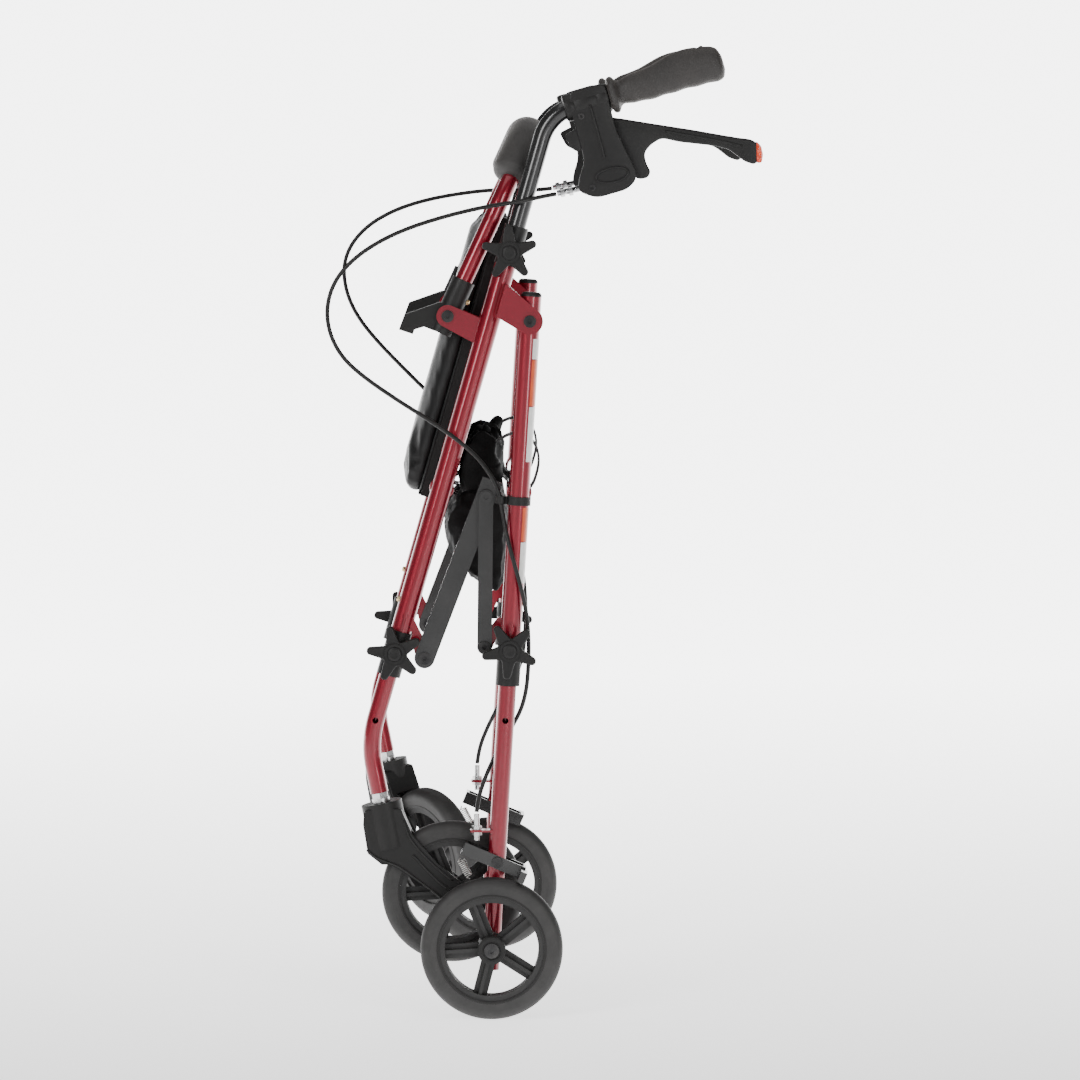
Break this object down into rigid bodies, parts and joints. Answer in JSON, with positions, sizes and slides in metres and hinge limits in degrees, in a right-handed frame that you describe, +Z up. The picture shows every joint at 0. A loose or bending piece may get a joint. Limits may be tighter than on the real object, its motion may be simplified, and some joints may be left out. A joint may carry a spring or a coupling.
{
  "type": "rollator walker",
  "caption": "Folding rollator walker, folded: tube legs with knobs, padded seat, hoop backrest, loop cable brakes, swivel front wheels, bag.",
  "frame": {"origin": "on the floor under the middle of the folded walker's bounding box, measured without the brake cables", "axes": "+X towards the user who pushes it, -X the way it rolls, +Z up, -Y the walker's left when seen from behind looking forward along -X"},
  "size_m": [0.4651, 0.5736, 1.0339],
  "materials": {
    "red_paint": "metallic crimson gloss",
    "black_paint": "gloss black",
    "black_plastic": "moulded black, fine grain",
    "grip_rubber": "pebbled soft rubber",
    "wheel_rubber": "charcoal tyre on a black core",
    "vinyl": "padded black vinyl",
    "nylon": "crumpled black nylon",
    "steel": "zinc plated",
    "brass": "plain"
  },
  "bodies": {
    "front_frame": {"left_front_leg": "red_paint", "right_front_leg": "red_paint", "front_cross_tube": "red_paint", "handle_collars": "black_plastic", "front_leg_collars": "black_plastic", "front_frame_bolts": "steel", "bag": "nylon", "left_brake_cable": "black_plastic", "right_brake_cable": "black_plastic"},
    "rear_frame": {"left_rear_leg": "red_paint", "right_rear_leg": "red_paint", "rear_cross_tube": "red_paint", "rear_leg_mouldings": "black_plastic", "rear_frame_bolts": "steel", "cable_clips": "black_plastic", "rear_leg_cables": "black_plastic"},
    "seat": {"seat_board": "black_plastic", "seat_pad": "vinyl"},
    "backrest": {"backrest_tube": "red_paint", "backrest_foam": "grip_rubber", "backrest_sleeves": "black_plastic"},
    "backrest_buttons": {"backrest_buttons": "brass"},
    "left_front_link": {"left_front_link": "black_paint"},
    "left_rear_link": {"left_rear_link": "black_paint"},
    "left_handle": {"left_handle_tube": "black_paint", "left_grip": "grip_rubber", "left_brake_housing": "black_plastic"},
    "left_lever": {"left_brake_lever": "black_plastic"},
    "left_front_lower_leg": {"left_front_lower_leg": "red_paint"},
    "left_rear_lower_leg": {"left_rear_lower_leg": "red_paint", "left_rear_fittings": "steel"},
    "left_caster": {"left_caster_fork": "black_plastic", "left_caster_fittings": "steel"},
    "left_front_wheel": {"left_front_wheel": "wheel_rubber"},
    "left_rear_wheel": {"left_rear_wheel": "wheel_rubber"},
    "left_brake_arm": {"left_brake_arm": "black_paint"},
    "left_handle_knob": {"left_handle_knob": "black_plastic"},
    "left_front_leg_knob": {"left_front_leg_knob": "black_plastic"},
    "left_rear_leg_knob": {"left_rear_leg_knob": "black_plastic"},
    "left_front_leg_button": {"left_front_leg_button": "brass"},
    "left_rear_leg_button": {"left_rear_leg_button": "brass"},
    "right_front_link": {"right_front_link": "black_paint"},
    "right_rear_link": {"right_rear_link": "black_paint"},
    "right_handle": {"right_handle_tube": "black_paint", "right_grip": "grip_rubber", "right_brake_housing": "black_plastic"},
    "right_lever": {"right_brake_lever": "black_plastic"},
    "right_front_lower_leg": {"right_front_lower_leg": "red_paint"},
    "right_rear_lower_leg": {"right_rear_lower_leg": "red_paint", "right_rear_fittings": "steel"},
    "right_caster": {"right_caster_fork": "black_plastic", "right_caster_fittings": "steel"},
    "right_front_wheel": {"right_front_wheel": "wheel_rubber"},
    "right_rear_wheel": {"right_rear_wheel": "wheel_rubber"},
    "right_brake_arm": {"right_brake_arm": "black_paint"},
    "right_handle_knob": {"right_handle_knob": "black_plastic"},
    "right_front_leg_knob": {"right_front_leg_knob": "black_plastic"},
    "right_rear_leg_knob": {"right_rear_leg_knob": "black_plastic"},
    "right_front_leg_button": {"right_front_leg_button": "brass"},
    "right_rear_leg_button": {"right_rear_leg_button": "brass"}
  },
  "joints": [
    {"name": "fold", "type": "hinge", "parent": "front_frame", "child": "rear_frame", "pos_m": [-0.031, 0, 0.7445], "axis": [0, -1, 0], "range_deg": [0, 46.5], "deforming": ["bag", "left_brake_cable", "right_brake_cable"]},
    {"name": "seat_hinge", "type": "hinge", "parent": "front_frame", "child": "seat", "pos_m": [-0.12512, 0, 0.56402], "axis": [0, -1, 0], "range_deg": [-62.48, 0]},
    {"name": "left_front_link_pivot", "type": "hinge", "parent": "front_frame", "child": "left_front_link", "pos_m": [-0.1438, -0.206, 0.382], "axis": [0, -1, 0], "range_deg": [-48.51, 0]},
    {"name": "left_rear_link_pivot", "type": "hinge", "parent": "rear_frame", "child": "left_rear_link", "pos_m": [-0.0794, -0.217, 0.3945], "axis": [0, -1, 0], "range_deg": [0, 51.51]},
    {"name": "right_front_link_pivot", "type": "hinge", "parent": "front_frame", "child": "right_front_link", "pos_m": [-0.1438, 0.206, 0.382], "axis": [0, -1, 0], "range_deg": [-48.51, 0]},
    {"name": "right_rear_link_pivot", "type": "hinge", "parent": "rear_frame", "child": "right_rear_link", "pos_m": [-0.0794, 0.217, 0.3945], "axis": [0, -1, 0], "range_deg": [0, 51.51]},
    {"name": "backrest_pivot", "type": "hinge", "parent": "front_frame", "child": "backrest", "pos_m": [-0.1187, 0, 0.7485], "axis": [0, -1, 0], "range_deg": [0, 94]},
    {"name": "backrest_button_press", "type": "slide", "parent": "backrest", "child": "backrest_buttons", "axis": [-0.9085, 0, 0.4179], "range_m": [0, 0.003], "stiffness_N_per_m": 500},
    {"name": "left_handle_height", "type": "slide", "parent": "front_frame", "child": "left_handle", "axis": [0.2756, 0, 0.9613], "range_m": [-0.05, 0.075]},
    {"name": "left_lever_pivot", "type": "hinge", "parent": "left_handle", "child": "left_lever", "pos_m": [0.062, -0.2, 0.936], "axis": [0, -1, 0], "range_deg": [0, 18], "stiffness_Nm_per_rad": 1.5, "springref_deg": -11.46},
    {"name": "left_front_leg_height", "type": "slide", "parent": "front_frame", "child": "left_front_lower_leg", "axis": [0.2756, 0, 0.9613], "range_m": [-0.05, 0.025]},
    {"name": "left_rear_leg_height", "type": "slide", "parent": "rear_frame", "child": "left_rear_lower_leg", "axis": [0.0612, 0, 0.9981], "range_m": [-0.05, 0.025], "deforming": ["rear_leg_cables"]},
    {"name": "left_brake_arm_pivot", "type": "hinge", "parent": "left_rear_lower_leg", "child": "left_brake_arm", "pos_m": [-0.066, -0.232, 0.1655], "axis": [0, -1, 0], "range_deg": [-3, 0]},
    {"name": "left_caster_swivel", "type": "hinge", "parent": "left_front_lower_leg", "child": "left_caster", "pos_m": [-0.19271, -0.2, 0.23616], "axis": [-0.1994, 0, 0.9799], "range_deg": [0, 250]},
    {"name": "left_front_wheel_spin", "type": "hinge", "parent": "left_caster", "child": "left_front_wheel", "pos_m": [-0.114, -0.2, 0.129], "axis": [0, -1, 0], "continuous": true},
    {"name": "left_rear_wheel_spin", "type": "hinge", "parent": "left_rear_lower_leg", "child": "left_rear_wheel", "pos_m": [-0.072, -0.264, 0.076], "axis": [0, -1, 0], "continuous": true},
    {"name": "left_handle_knob_turn", "type": "hinge", "parent": "front_frame", "child": "left_handle_knob", "pos_m": [-0.05263, -0.22, 0.81683], "axis": [0, -1, 0], "continuous": true},
    {"name": "left_front_leg_knob_turn", "type": "hinge", "parent": "front_frame", "child": "left_front_leg_knob", "pos_m": [-0.1757, -0.22, 0.38763], "axis": [0, -1, 0], "continuous": true},
    {"name": "left_rear_leg_knob_turn", "type": "hinge", "parent": "rear_frame", "child": "left_rear_leg_knob", "pos_m": [-0.05253, -0.252, 0.3934], "axis": [0, -1, 0], "continuous": true},
    {"name": "left_front_leg_button_press", "type": "slide", "parent": "front_frame", "child": "left_front_leg_button", "axis": [0.9613, 0, -0.2756], "range_m": [0, 0.003], "stiffness_N_per_m": 500},
    {"name": "left_rear_leg_button_press", "type": "slide", "parent": "rear_frame", "child": "left_rear_leg_button", "axis": [-0.9981, 0, 0.0612], "range_m": [0, 0.003], "stiffness_N_per_m": 500},
    {"name": "right_handle_height", "type": "slide", "parent": "front_frame", "child": "right_handle", "axis": [0.2756, 0, 0.9613], "range_m": [-0.05, 0.075]},
    {"name": "right_lever_pivot", "type": "hinge", "parent": "right_handle", "child": "right_lever", "pos_m": [0.062, 0.2, 0.936], "axis": [0, -1, 0], "range_deg": [0, 18], "stiffness_Nm_per_rad": 1.5, "springref_deg": -11.46},
    {"name": "right_front_leg_height", "type": "slide", "parent": "front_frame", "child": "right_front_lower_leg", "axis": [0.2756, 0, 0.9613], "range_m": [-0.05, 0.025]},
    {"name": "right_rear_leg_height", "type": "slide", "parent": "rear_frame", "child": "right_rear_lower_leg", "axis": [0.0612, 0, 0.9981], "range_m": [-0.05, 0.025]},
    {"name": "right_brake_arm_pivot", "type": "hinge", "parent": "right_rear_lower_leg", "child": "right_brake_arm", "pos_m": [-0.066, 0.232, 0.1655], "axis": [0, -1, 0], "range_deg": [-3, 0]},
    {"name": "right_caster_swivel", "type": "hinge", "parent": "right_front_lower_leg", "child": "right_caster", "pos_m": [-0.19271, 0.2, 0.23616], "axis": [-0.1994, 0, 0.9799], "range_deg": [-195, 55]},
    {"name": "right_front_wheel_spin", "type": "hinge", "parent": "right_caster", "child": "right_front_wheel", "pos_m": [-0.1373, 0.15432, 0.12426], "axis": [-0.8027, -0.5736, -0.1633], "continuous": true},
    {"name": "right_rear_wheel_spin", "type": "hinge", "parent": "right_rear_lower_leg", "child": "right_rear_wheel", "pos_m": [-0.072, 0.264, 0.076], "axis": [0, -1, 0], "continuous": true},
    {"name": "right_handle_knob_turn", "type": "hinge", "parent": "front_frame", "child": "right_handle_knob", "pos_m": [-0.05263, 0.22, 0.81683], "axis": [0, -1, 0], "continuous": true},
    {"name": "right_front_leg_knob_turn", "type": "hinge", "parent": "front_frame", "child": "right_front_leg_knob", "pos_m": [-0.1757, 0.22, 0.38763], "axis": [0, -1, 0], "continuous": true},
    {"name": "right_rear_leg_knob_turn", "type": "hinge", "parent": "rear_frame", "child": "right_rear_leg_knob", "pos_m": [-0.05253, 0.252, 0.3934], "axis": [0, -1, 0], "continuous": true},
    {"name": "right_front_leg_button_press", "type": "slide", "parent": "front_frame", "child": "right_front_leg_button", "axis": [0.9613, 0, -0.2756], "range_m": [0, 0.003], "stiffness_N_per_m": 500},
    {"name": "right_rear_leg_button_press", "type": "slide", "parent": "rear_frame", "child": "right_rear_leg_button", "axis": [-0.9981, 0, 0.0612], "range_m": [0, 0.003], "stiffness_N_per_m": 500}
  ],
  "couplings": [
    {"joint": "seat_hinge", "follows": "fold", "ratio": -1.3328},
    {"joint": "left_front_link_pivot", "follows": "fold", "ratio": -1.0325},
    {"joint": "left_rear_link_pivot", "follows": "fold", "ratio": 1.0971},
    {"joint": "right_front_link_pivot", "follows": "fold", "ratio": -1.0325},
    {"joint": "right_rear_link_pivot", "follows": "fold", "ratio": 1.0971},
    {"joint": "left_brake_arm_pivot", "follows": "left_lever_pivot", "ratio": -0.1666},
    {"joint": "right_brake_arm_pivot", "follows": "right_lever_pivot", "ratio": -0.1666}
  ]
}
